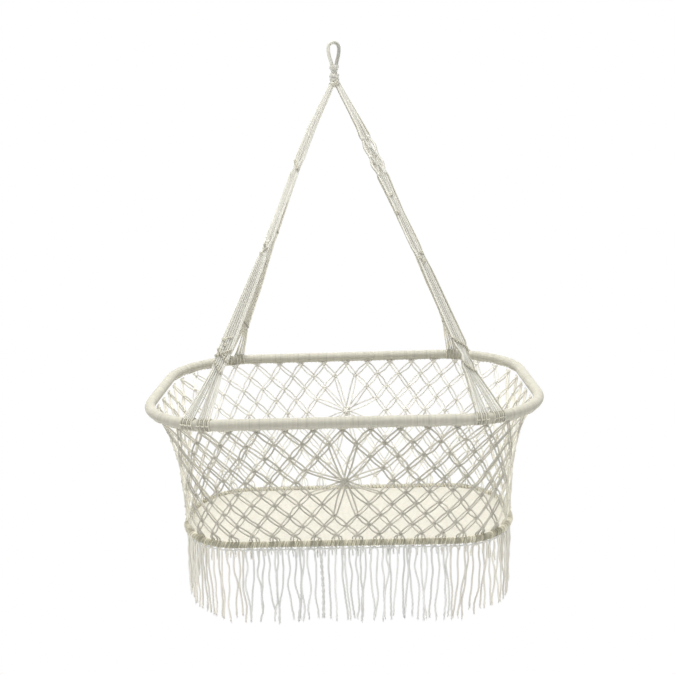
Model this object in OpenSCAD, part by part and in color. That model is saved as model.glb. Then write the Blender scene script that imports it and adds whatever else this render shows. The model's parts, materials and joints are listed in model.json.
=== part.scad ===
// Rope hammock cradle: a knotted net basket hung from one eye by four gathered
// cord straps. Millimetres, +Z up, +X along the cradle to the right, +Y towards its back.
// The origin is the axis of the hook bar inside the eye, so the whole cradle
// hangs below it and the bar bears on the top of the eye.

/* [Upper hoop] */
// Length over the wrapped upper hoop
upper_len = 886; // [700:2:1100]
// Width over the wrapped upper hoop
upper_wid = 590; // [450:2:700]
// Corner radius of the hoop's centreline
upper_corner = 185; // [120:5:270]
// Diameter over the cord wrap
upper_d = 23; // [16:1:30]
// Diameter of the bare rod
upper_core_d = 16; // [10:1:24]
// Height of the hoop's centreline below the hook bar
upper_drop = 757; // [500:1:1000]

/* [Lower hoop] */
// Length over the hitched lower hoop
lower_len = 788; // [600:2:1000]
// Width over the hitched lower hoop
lower_wid = 340; // [260:2:520]
// Corner radius of the lower hoop's centreline
lower_corner = 142; // [80:2:170]
// Diameter over the half hitches
lower_d = 16; // [10:1:24]
// Diameter of the bare lower rod
lower_core_d = 10; // [6:1:16]
// Depth of the cradle, hoop centreline to hoop centreline
cradle_depth = 324; // [200:2:450]
// Extra corner radius of the net half way down, where its tension rounds the corners off
corner_ease = 50; // [0:2:60]
// Thickness of the woven floor
floor_t = 2.4; // [1:0.2:6]

/* [Net] */
// Knots in one row right round the cradle
knots_round = 42; // [24:2:60]
// Rows of knots from hoop to hoop
knot_rows = 10; // [6:1:14]
// Diameter of one knot
knot_d = 10; // [6:0.5:14]
// Diameter of the cord pair on one side of a mesh
mesh_d = 3.6; // [2:0.2:6]
// Diameter of the knot in the middle of a rosette
rosette_d = 22; // [14:1:40]

/* [Straps] */
// Distance of a strap's landing from the middle of the hoop, along the hoop
strap_at = 300; // [200:5:360]
// Diameter of the gathered part of a strap
strap_d = 13; // [8:1:20]
// Share of the strap's length that is fanned out
fan_share = 0.17; // [0.1:0.01:0.3]
// Diameter of one fanned cord pair
fan_d = 3.4; // [2:0.2:5]

/* [Eye and neck] */
// Radius of the eye where the hook bar bears
eye_r = 8; // [5:0.5:20]
// Thickness of the eye's cord bundle, outwards from the bar
eye_t = 7; // [4:0.5:12]
// Width of the eye's cord bundle, along the bar
eye_w = 9; // [6:0.5:16]
// Height of the pivot of the neck, measured down from the hook bar
pivot_drop = 52; // [45:0.5:80]
// Radius of the ball of cord inside the neck
ball_r = 5; // [3:0.5:8]

/* [Fringe] */
// Cords hanging right round the cradle
fringe_cords = 168; // [80:4:240]
// Diameter of one fringe cord
fringe_d = 3.4; // [1.6:0.2:5]
// Longest fringe cord
fringe_len = 168; // [60:2:260]
// Drop of the header cord below the lower hoop
header_drop = 13; // [10:1:24]
// Diameter of the header cord
header_d = 3.4; // [2:0.2:5]

/* [Hidden] */
$fn = 24;
gap = 0.6; // clearance between neighbouring pieces
// hoop centrelines in plan: [half length, half width, corner radius]
upper = [(upper_len - upper_d) / 2, (upper_wid - upper_d) / 2, upper_corner];
lower = [(lower_len - lower_d) / 2, (lower_wid - lower_d) / 2, lower_corner];
upper_z = -upper_drop;
lower_z = -upper_drop - cradle_depth;
header_z = lower_z - header_drop;
pivot_z = -pivot_drop;

loop_colour = [0.88, 0.84, 0.74];
whipping_colour = [0.93, 0.9, 0.82];
core_colour = [0.8, 0.76, 0.66];
neck_knot_colour = [0.86, 0.82, 0.72];
strap_colour = [0.9, 0.87, 0.78];
hitch_colour = [0.88, 0.84, 0.75];
rod_colour = [0.72, 0.58, 0.38];
wrap_colour = [0.86, 0.82, 0.73];
head_cord_colour = [0.84, 0.8, 0.7];
net_colour = [0.76, 0.72, 0.63];
rosette_colour = [0.82, 0.78, 0.69];
lower_hitch_colour = [0.72, 0.68, 0.56];
floor_colour = [0.9, 0.88, 0.82];
header_colour = [0.85, 0.81, 0.71];
fringe_colour = [0.87, 0.83, 0.74];

// ---- plan curve: a rounded rectangle walked by arc length ----
function quarter_len(hoop) = (hoop[0] - hoop[2]) + (hoop[1] - hoop[2]) + PI * hoop[2] / 2;
// [x, y, outward direction in degrees] at s along the quarter from the front middle
// to the right-hand end
function quarter_at(hoop, s) = let (
    corner = hoop[2],
    corner_x = hoop[0] - corner,
    corner_y = -(hoop[1] - corner),
    arc = PI * corner / 2,
    turned = (s - corner_x) / corner * 180 / PI)
  s < corner_x ? [s, -hoop[1], -90]
  : s < corner_x + arc
    ? [corner_x + corner * sin(turned), corner_y - corner * cos(turned), turned - 90]
  : [hoop[0], corner_y + s - corner_x - arc, 0];
// the same at u right round: 0 front middle, 0.25 right end, 0.5 back middle, 0.75 left end
function plan_at(hoop, u) = let (
    quarter = quarter_len(hoop),
    s = 4 * quarter * (u - floor(u)),
    k = s <= quarter ? 0 : s <= 2 * quarter ? 1 : s <= 3 * quarter ? 2 : 3,
    from_middle = [s, 2 * quarter - s, s - 2 * quarter, 4 * quarter - s][k],
    p = quarter_at(hoop, from_middle),
    side_x = k >= 2 ? -1 : 1,
    side_y = (k == 1 || k == 2) ? -1 : 1)
  [side_x * p.x, side_y * p.y, atan2(side_y * sin(p[2]), side_x * cos(p[2]))];

// ---- helpers ----
function unit(v) = v / norm(v);
// rotation that turns +Z to the unit vector v
function aim(v) = [0, acos(v.z), atan2(v.y, v.x)];
// round bar from a to b, shortened by trim_a and trim_b at its ends
module bar(a, b, d, trim_a = 0, trim_b = 0) {
  dir = unit(b - a);
  translate(a + dir * trim_a)
    rotate(aim(dir))
      cylinder(h = norm(b - a) - trim_a - trim_b, r = d / 2);
}
// the same with a square section, used where many bars meet
module cord_bar(a, b, d, trim_a = 0, trim_b = 0) {
  dir = unit(b - a);
  translate(a + dir * trim_a)
    rotate(aim(dir)) rotate([0, 0, 45])
      translate([-d / 2, -d / 2, 0]) cube([d, d, norm(b - a) - trim_a - trim_b]);
}
// level ring of round section r along a hoop's centreline
module ring(hoop, r, z) {
  corner = hoop[2];
  run_x = hoop[0] - corner;
  run_y = hoop[1] - corner;
  translate([0, 0, z]) {
    for (sx = [0, 1], sy = [0, 1]) mirror([sx, 0, 0]) mirror([0, sy, 0])
      translate([run_x, run_y, 0])
        rotate_extrude(angle = 90) translate([corner, 0]) circle(r = r);
    for (s = [-1, 1]) {
      translate([-run_x, s * hoop[1], 0]) rotate([0, 90, 0]) cylinder(h = 2 * run_x, r = r);
      translate([s * hoop[0], -run_y, 0]) rotate([-90, 0, 0]) cylinder(h = 2 * run_y, r = r);
    }
  }
}

// ---- eye and neck: revolved profiles are [radius, height] ----
eye_chamfer = 1.5;
leg_half_x = 8;
leg_half_y = eye_w / 2 - eye_chamfer;
eye_whip_z = -44;
eye_whip_h = 9;
slot_gap = 0.1;
throat_knot_z = pivot_z - 10;
throat_whip_h = 7.4;
throat_whip_z = throat_knot_z - gap - throat_whip_h;
crown_h = 9.8;
crown_r = 15;
crown_z = throat_whip_z - 0.2 - crown_h; // underside of the crown knot

// a half ring over the bar, on two legs that close together below it
module hanging_loop() color(loop_colour) {
  c = eye_chamfer;
  outer = eye_r + eye_t;
  w = eye_w / 2;
  rotate([90, 0, 0]) rotate_extrude(angle = 180) polygon([
    [eye_r, -w + c], [eye_r + c, -w], [outer - c, -w], [outer, -w + c],
    [outer, w - c], [outer - c, w], [eye_r + c, w], [eye_r, w - c]
  ]);
  // [x, z]: the outline, then the teardrop opening under the bar
  rotate([90, 0, 0]) translate([0, 0, -leg_half_y]) linear_extrude(2 * leg_half_y) polygon([
    [-outer, 0], [-outer, -3], [-leg_half_x, -33], [-leg_half_x, -45],
    [leg_half_x, -45], [leg_half_x, -33], [outer, -3], [outer, 0],
    [eye_r, 0], [eye_r, -3], [0.8, -29], [-0.8, -29], [-eye_r, -3], [-eye_r, 0]
  ]);
}
// grooved collar with a slot for the legs
module eye_whipping() color(whipping_colour) translate([0, 0, eye_whip_z]) difference() {
  rotate_extrude() polygon([
    [0, 0], [11, 0], [12, 1], [12, 3.4], [11.4, 4],
    [12, 4.6], [12, 8], [11, eye_whip_h], [0, eye_whip_h]
  ]);
  translate([-leg_half_x - slot_gap, -leg_half_y - slot_gap, -1])
    cube([2 * (leg_half_x + slot_gap), 2 * (leg_half_y + slot_gap), eye_whip_h + 2]);
}
// ball crossed by two pins that stand just proud of it
module neck_core() color(core_colour) translate([0, 0, pivot_z]) {
  pin_len = 2 * ball_r + 0.8;
  sphere(r = ball_r);
  rotate([0, 90, 0]) cylinder(r = 1.8, h = pin_len, center = true);
  rotate([90, 0, 0]) cylinder(r = 1.4, h = pin_len, center = true);
}
// disc hollowed to clear the ball
module throat_knot() color(neck_knot_colour) difference() {
  translate([0, 0, throat_knot_z])
    rotate_extrude() polygon([[0, 0], [10, 0], [12, 2], [12, 6], [10, 8], [0, 8]]);
  translate([0, 0, pivot_z]) sphere(r = ball_r + 0.9);
}
module throat_whipping() color(whipping_colour) translate([0, 0, throat_whip_z])
  rotate_extrude() polygon([
    [0, 0], [10, 0], [11, 1], [11, 3], [10.4, 3.7],
    [11, 4.4], [11, 6.4], [10, throat_whip_h], [0, throat_whip_h]
  ]);
module crown_knot() color(neck_knot_colour) translate([0, 0, crown_z])
  rotate_extrude() polygon([
    [0, 0], [crown_r - 3, 0], [crown_r, 3], [crown_r, 6], [crown_r - 4, crown_h], [0, crown_h]
  ]);

// ---- straps, drawn at the front right; left and back are 0 or 1 and mirror them ----
fan_cords = 6;
fan_pitch = fan_d + 0.5;
fan_clear = 5.4;       // from the hoop wrap to the ends of the fan
fan_overlap = 3;       // fan cords run this far past the gathering point
collar_len = 24;
bead_at = [0.36, 0.52, 0.66, 0.8]; // shares of the strap's length
strap_top = [12.5, -9, crown_z - 6.5];
hitch_d = 3;
hitch_gap = 0.3;       // from the hoop wrap to a hitch
hitch_pitch = 4.5;
hitch_group = 6;       // turns on each side of the landing
hitch_first = 6.5;     // landing to the nearest turn
// turns of cord, two for each fan cord: distances from the landing along the hoop
hitch_offsets = [
  for (start = [-hitch_first - (hitch_group - 1) * hitch_pitch, hitch_first],
       i = [0 : hitch_group - 1]) start + i * hitch_pitch
];
// plan point at an offset from the landing along the upper hoop
function landing_at(offset) = plan_at(upper, (strap_at + offset) / (4 * quarter_len(upper)));

module strap(left, back) mirror([left, 0, 0]) mirror([0, back, 0]) {
  p = landing_at(0);
  landing = [p.x, p.y, upper_z];
  run = strap_top - landing;
  dir = unit(run);
  gather = landing + run * fan_share;
  side = [-sin(p[2]), cos(p[2]), 0];
  middle = (fan_cords - 1) / 2;
  for (i = [0 : fan_cords - 1]) {
    q = landing_at((hitch_offsets[2 * i] + hitch_offsets[2 * i + 1]) / 2);
    bar([q.x, q.y, upper_z], gather + side * (i - middle) * fan_pitch, fan_d,
      upper_d / 2 + fan_clear, -fan_overlap);
  }
  bar(gather, gather + dir * collar_len, 2 * middle * fan_pitch + fan_d + 2);
  bar(gather + dir * collar_len / 2, strap_top, strap_d);
  for (f = bead_at) translate(landing + run * f) sphere(r = strap_d / 2 + 2.4);
}
module strap_hitches(left, back) mirror([left, 0, 0]) mirror([0, back, 0])
  for (offset = hitch_offsets) {
    p = landing_at(offset);
    translate([p.x, p.y, upper_z]) rotate([0, 0, p[2]]) rotate([90, 0, 0])
      rotate_extrude() translate([upper_d / 2 + hitch_gap + hitch_d / 2, 0])
        circle(r = hitch_d / 2);
  }
module strap_front_right() color(strap_colour) strap(left = 0, back = 0);
module strap_front_left() color(strap_colour) strap(left = 1, back = 0);
module strap_back_right() color(strap_colour) strap(left = 0, back = 1);
module strap_back_left() color(strap_colour) strap(left = 1, back = 1);
module strap_hitches_front_right() color(hitch_colour) strap_hitches(left = 0, back = 0);
module strap_hitches_front_left() color(hitch_colour) strap_hitches(left = 1, back = 0);
module strap_hitches_back_right() color(hitch_colour) strap_hitches(left = 0, back = 1);
module strap_hitches_back_left() color(hitch_colour) strap_hitches(left = 1, back = 1);

// ---- upper hoop ----
rod_gap = 0.1; // between a rod and its wrap
head_cord_r = 1.5;
head_cord_drop = upper_d / 2 + 5.2;

// 1 mm slice across a rail, from x towards +X; size is its height and width
module seam(x, y, z, size) translate([x, y - size / 2, z - size / 2]) cube([1, size, size]);
module upper_hoop_rod() color(rod_colour) ring(upper, upper_core_d / 2, upper_z);
// two lengths of wrapping that meet at a seam in the front rail and one in the back rail
module upper_hoop_wrap() color(wrap_colour) difference() {
  ring(upper, upper_d / 2, upper_z);
  ring(upper, upper_core_d / 2 + rod_gap, upper_z);
  seam(55, -upper[1], upper_z, 40);
  seam(75, upper[1], upper_z, 40);
}
// cord under the wrapped hoop, just above the first row of knots
module net_head_cord() color(head_cord_colour) ring(upper, head_cord_r, upper_z - head_cord_drop);

// ---- net: rows r count down from 1, half columns h count round from the front middle ----
half_columns = knots_round * 2;
knot_r = knot_d / 2;
knot_size = knot_d * [0.6, 0.9, 0.8];
first_drop = head_cord_drop + head_cord_r + gap + knot_r;
row_step = (cradle_depth - lower_d / 2 - 4 - first_drop) / (knot_rows - 0.5);
end_flare = 0.22;     // share of the depth over which the ends sweep in
strand_trim = 1.2;    // how far short of a knot's middle a strand ends
foot_z = -cradle_depth + lower_d / 2 + gap + 1.2; // below the upper hoop
foot_spread = 0.55;   // half columns from a last-row knot to its strands' feet
rosette_row = 5;
rosette_t = 12;
// [row, half columns either side of a rosette's middle]
open_cells = [[3, 0], [4, 1], [5, 0], [5, 2], [6, 1], [7, 0]];
ray_knots = [[2, 1], [3, 2], [4, 3], [6, 3], [7, 2], [8, 1]];

// the ends sweep in quickly under the hoop; the long sides hang nearly upright and
// turn in lower down; z is measured from the upper hoop's centreline
function flare(t) = (1 - exp(-t / end_flare)) / (1 - exp(-1 / end_flare));
function net_at(z, u) = let (
    t = -z / cradle_depth,
    half_len = upper[0] - (upper[0] - lower[0]) * flare(t),
    half_wid = upper[1] - (upper[1] - lower[1]) * (0.3 * t + 0.7 * t * t),
    corner = upper[2] - (upper[2] - lower[2]) * t + corner_ease * 4 * t * (1 - t),
    p = plan_at([half_len, half_wid, min(corner, half_wid - 4)], u))
  [p.x, p.y, upper_z + z];
function knot_pos(r, h) = net_at(-first_drop - row_step * (r - 1), h / half_columns);
function wrapped(h) = (h + half_columns) % half_columns;
// half columns from c to h, the short way round
function columns_apart(h, c) = let (d = wrapped(h - c)) min(d, half_columns - d);
function is_open(r, h, c) = len([for (cell = open_cells) if (cell == [r, columns_apart(h, c)]) 1]) > 0;
function has_knot(r, h) = !is_open(r, h, 0) && !is_open(r, h, half_columns / 2);

// one solid of knots and cord pairs over count half columns, with every mesh open;
// a strand that runs to a knot of the next panel stops just clear of it
module net_panel(first, count) color(net_colour)
  for (r = [1 : knot_rows], h = [first : first + count - 1])
    if ((wrapped(h) + r) % 2 == 1 && has_knot(r, h)) {
      p = knot_pos(r, h);
      translate(p) rotate([0, 0, plan_at(upper, h / half_columns)[2]])
        translate(-knot_size / 2) cube(knot_size);
      for (s = [-1, 1])
        if (r == knot_rows) {
          foot = net_at(foot_z, (h + s * foot_spread) / half_columns);
          cord_bar(p, foot, mesh_d, strand_trim, strand_trim);
        } else if (has_knot(r + 1, h + s)) {
          inside = wrapped(h + s - first) < count;
          cord_bar(p, knot_pos(r + 1, h + s), mesh_d, strand_trim,
            inside ? strand_trim : knot_r + 2);
        }
    }
// a flat barrel facing outwards, with twelve cord rays that end just clear of it;
// out is -1 at the front and 1 at the back
module rosette(column, out) color(rosette_colour) {
  r = rosette_d / 2;
  middle = knot_pos(rosette_row, column);
  translate(middle) rotate([-out * 90, 0, 0]) translate([0, 0, -rosette_t / 2])
    rotate_extrude() polygon([[0, 0], [r - 2, 0], [r, 3], [r, 8], [r - 4, rosette_t], [0, rosette_t]]);
  for (k = ray_knots, s = [-1, 1])
    bar(middle, knot_pos(k[0], column + s * k[1]), mesh_d, r + 2.4, knot_r + 2.2);
}
module net_front() net_panel(first = -8, count = 17);
module net_front_right() net_panel(first = 9, count = 7);
module net_right() net_panel(first = 16, count = 11);
module net_back_right() net_panel(first = 27, count = 7);
module net_back() net_panel(first = 34, count = 17);
module net_back_left() net_panel(first = 51, count = 7);
module net_left() net_panel(first = 58, count = 11);
module net_front_left() net_panel(first = 69, count = 7);
module rosette_front() rosette(column = 0, out = -1);
module rosette_back() rosette(column = half_columns / 2, out = 1);

// ---- lower hoop ----
module lower_hoop_rod() color(rod_colour) ring(lower, lower_core_d / 2, lower_z);
// sleeve with one seam in the back rail
module lower_hoop_hitches() color(lower_hitch_colour) difference() {
  ring(lower, lower_d / 2, lower_z);
  ring(lower, lower_core_d / 2 + rod_gap, lower_z);
  seam(-1, lower[1], lower_z, 30);
}
// rounded plate just inside the hoop: a middle rectangle and two rounded ends
module woven_floor() color(floor_colour)
  translate([0, 0, lower_z - floor_t / 2]) linear_extrude(floor_t) {
    inset = lower_d / 2 + gap;
    half_wid = lower[1] - inset;
    r = lower[2] - inset;
    run_x = lower[0] - inset - r;
    run_y = half_wid - r;
    square([2 * run_x, 2 * half_wid], center = true);
    for (s = [-1, 1]) intersection() {
      union() {
        translate([s * run_x, -run_y]) circle(r = r);
        translate([s * run_x, run_y]) circle(r = r);
        translate([s * (run_x + r / 2), 0]) square([r, 2 * run_y], center = true);
      }
      translate([s * (run_x + r / 2), 0]) square([r, 2 * half_wid], center = true);
    }
  }

// ---- fringe ----
fringe_top_z = header_z - 3.8;
// two waves that make the cord lengths uneven
coarse_wave = 6;
fine_wave = 3;

function fringe_side(p) =
  abs(p.x) < lower[0] - lower[2] ? (p.y < 0 ? "front" : "back")
  : abs(p.y) < lower[1] - lower[2] + 20 ? (p.x < 0 ? "left" : "right")
  : "corners";
module fringe(side) color(fringe_colour)
  for (i = [0 : fringe_cords - 1]) {
    p = plan_at(lower, (i + 0.5) / fringe_cords);
    if (fringe_side(p) == side) {
      l = fringe_len - coarse_wave * (1 + sin(i * 47)) - fine_wave * (1 + sin(i * 113));
      translate([p.x, p.y, fringe_top_z - l]) cylinder(h = l, r = fringe_d / 2);
    }
  }
module fringe_header_cord() color(header_colour) ring(lower, header_d / 2, header_z);
module fringe_front() fringe("front");
module fringe_back() fringe("back");
module fringe_left() fringe("left");
module fringe_right() fringe("right");
module fringe_corners() fringe("corners");

hanging_loop();
eye_whipping();
neck_core();
throat_knot();
throat_whipping();
crown_knot();
strap_front_left();
strap_front_right();
strap_back_left();
strap_back_right();
strap_hitches_front_left();
strap_hitches_front_right();
strap_hitches_back_left();
strap_hitches_back_right();
upper_hoop_rod();
upper_hoop_wrap();
net_head_cord();
net_front();
net_front_right();
net_right();
net_back_right();
net_back();
net_back_left();
net_left();
net_front_left();
rosette_front();
rosette_back();
lower_hoop_rod();
lower_hoop_hitches();
woven_floor();
fringe_header_cord();
fringe_front();
fringe_back();
fringe_left();
fringe_right();
fringe_corners();
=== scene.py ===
"""A hanging macrame basket: two corded hoops with a knotted net between them, a woven floor,
a fringe below, and four straps of twelve cords gathered under an eye.

The long side lies along x, the front faces -y and +z is up. The eye is centred on the origin.
"""

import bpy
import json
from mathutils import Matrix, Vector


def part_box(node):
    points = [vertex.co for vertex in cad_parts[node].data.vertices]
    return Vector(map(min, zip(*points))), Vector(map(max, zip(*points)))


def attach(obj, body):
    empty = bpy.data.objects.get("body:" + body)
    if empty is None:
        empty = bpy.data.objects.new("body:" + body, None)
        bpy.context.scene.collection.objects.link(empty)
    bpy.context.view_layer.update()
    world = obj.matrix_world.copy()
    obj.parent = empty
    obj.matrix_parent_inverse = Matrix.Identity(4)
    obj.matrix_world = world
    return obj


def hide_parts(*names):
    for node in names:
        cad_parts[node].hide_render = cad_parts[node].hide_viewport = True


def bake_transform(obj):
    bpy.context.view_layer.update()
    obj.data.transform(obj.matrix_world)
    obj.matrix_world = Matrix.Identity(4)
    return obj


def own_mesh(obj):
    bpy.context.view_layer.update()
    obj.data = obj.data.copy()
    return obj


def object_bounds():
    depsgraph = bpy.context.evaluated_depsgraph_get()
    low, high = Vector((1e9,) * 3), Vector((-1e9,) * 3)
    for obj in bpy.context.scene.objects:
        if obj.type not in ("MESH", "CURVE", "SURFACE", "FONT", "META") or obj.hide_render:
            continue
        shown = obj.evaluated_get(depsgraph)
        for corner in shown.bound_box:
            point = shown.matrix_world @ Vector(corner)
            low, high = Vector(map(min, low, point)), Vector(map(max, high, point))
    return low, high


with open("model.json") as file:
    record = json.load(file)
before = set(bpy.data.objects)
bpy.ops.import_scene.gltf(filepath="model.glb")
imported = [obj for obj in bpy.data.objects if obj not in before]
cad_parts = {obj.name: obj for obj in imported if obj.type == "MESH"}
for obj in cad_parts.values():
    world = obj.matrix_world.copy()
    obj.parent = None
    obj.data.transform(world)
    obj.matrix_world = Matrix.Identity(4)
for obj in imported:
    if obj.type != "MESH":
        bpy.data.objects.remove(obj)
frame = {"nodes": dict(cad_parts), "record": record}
CAD_BOX = [list(map(float, corner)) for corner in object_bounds()]

import json
import math

import bpy
import numpy as np
from mathutils import Matrix, Vector

rng = np.random.default_rng(20)
TAU = 2 * math.pi


# ---------------------------------------------------------------- vectors and curves
def unit(v):
    v = np.asarray(v, float)
    return v / np.maximum(np.linalg.norm(v, axis=-1, keepdims=True), 1e-12)


def square_to(v, axis):
    """The unit vector nearest to v at right angles to axis."""
    return unit(v - axis * (v * axis).sum(-1, keepdims=True))


def points(x, y, z):
    return np.stack(np.broadcast_arrays(x, y, z), -1)


def clip01(value):
    return np.clip(value, 0, 1)


def smoothstep(start, end, t):
    k = clip01((t - start) / (end - start))
    return k * k * (3 - 2 * k)


def lerp(a, b, t):
    return a * (1 - t) + b * t


def plan(half_x, half_y, corner, u):
    """x, y and outward normal on a rounded rectangle; u is 0 at front middle, .25 at the right."""
    u = np.asarray(u, float) % 1.0
    flat_x = half_x - corner
    arc = math.pi * corner / 2
    quarter = flat_x + (half_y - corner) + arc
    s = 4 * quarter * u
    k = np.minimum((s / quarter).astype(int), 3)
    t = np.select([k == 0, k == 1, k == 2, k == 3],
                  [s, 2 * quarter - s, s - 2 * quarter, 4 * quarter - s])
    angle = np.clip((t - flat_x) / corner, 0, math.pi / 2)
    x = np.where(t < flat_x, t, flat_x + corner * np.sin(angle))
    y = np.where(t > flat_x + arc,
                 -(half_y - corner) + t - flat_x - arc,
                 -(half_y - corner) - corner * np.cos(angle))
    side_x = np.where(k >= 2, -1.0, 1.0)
    side_y = np.where((k == 1) | (k == 2), -1.0, 1.0)
    return x * side_x, y * side_y, np.sin(angle) * side_x, -np.cos(angle) * side_y


def perimeter(half_x, half_y, corner):
    return 4 * ((half_x - corner) + (half_y - corner) + math.pi * corner / 2)


def beside(hoop, u, z, out=0.0, along=0.0):
    """Points at fraction u of a hoop, shifted outwards and along it."""
    x, y, out_x, out_y = plan(*hoop, u)
    return points(x + out * out_x - along * out_y, y + out * out_y + along * out_x, z)


def hoop_turns(hoop, z, u, radius, skew, segments):
    """One closed turn of cord round a hoop at each u."""
    angle = np.arange(segments) / segments * TAU
    return beside(hoop, u[:, None], z + radius * np.sin(angle),
                  out=radius * np.cos(angle), along=skew * np.sin(angle))


def coil(centre, width, up, half, height, turns, segments=12):
    """Cord wound round an elliptical core; half = (along width, across it)."""
    width = unit(width)
    up = unit(up)
    depth = unit(np.cross(width, up))
    t = np.linspace(0, 1, int(segments * turns) + 1)
    angle = t * turns * TAU + 0.6
    return (np.asarray(centre, float)[..., None, :]
            + half[0] * np.cos(angle)[:, None] * width[..., None, :]
            + half[1] * np.sin(angle)[:, None] * depth[..., None, :]
            + ((t - 0.5) * height)[:, None] * up[..., None, :])


# ---------------------------------------------------------------- dimensions
def box(node):
    low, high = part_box(node)
    return np.array(low, float), np.array(high, float)


def ring_size(node):
    """Half length and half width of a ring's centreline, its height and its cord's radius."""
    low, high = box(node)
    radius = (high[2] - low[2]) / 2
    half = (high - low) / 2 - radius
    return half[0], half[1], (high[2] + low[2]) / 2, radius


UPPER_CORNER, LOWER_CORNER = 0.185, 0.142  # corner radii of the hoops' centrelines
UPPER_X, UPPER_Y, UPPER_Z, UPPER_R = ring_size("upper_hoop_wrap")
LOWER_X, LOWER_Y, LOWER_Z, LOWER_R = ring_size("lower_hoop_hitches")
UPPER = (UPPER_X, UPPER_Y, UPPER_CORNER)
LOWER = (LOWER_X, LOWER_Y, LOWER_CORNER)
UPPER_LENGTH = perimeter(*UPPER)
LOWER_LENGTH = perimeter(*LOWER)
HEADER_Z, HEADER_R = ring_size("fringe_header_cord")[2:]
NET_HEAD_R = ring_size("net_head_cord")[3]
NET_HEAD_Z = UPPER_Z - UPPER_R - 0.0004
DEPTH = UPPER_Z - LOWER_Z

KNOTS, ROWS = 42, 10  # knots in a row round the net, and rows of knots
COLUMNS = 2 * KNOTS  # alternate rows use alternate columns
FIRST_ROW = UPPER_R + 0.0078
ROW_STEP = (DEPTH - LOWER_R - 0.004 - FIRST_ROW) / (ROWS - 0.5)
NET_R = 0.00182  # radius of one net cord
EASE = 0.050  # extra corner radius of the net half way down

STRAPS_PART_Z = box("crown_knot")[0][2]  # underside of the knot where the straps part
JOINTS = {joint["name"]: joint for joint in frame["record"]["behaviour"]["joints"]}
BALL_Z = float(JOINTS["swing_lengthwise"]["pos_m"][2])

PLIES, PLY_PITCH = 3, 0.0085  # modelled plies of a cord and the length of one twist
PLY_GROOVE = 0.26  # depth between plies, as a share of the cord's radius


# ---------------------------------------------------------------- mesh builder
def quads(*corners):
    return np.stack(corners, -1).reshape(-1, 4)


def corner_uvs(*corners):
    """One UV per face corner from four (u, v) pairs of arrays."""
    pairs = [np.stack(np.broadcast_arrays(u, v), -1) for u, v in corners]
    return np.stack(pairs, -2).reshape(-1, 2)


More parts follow.
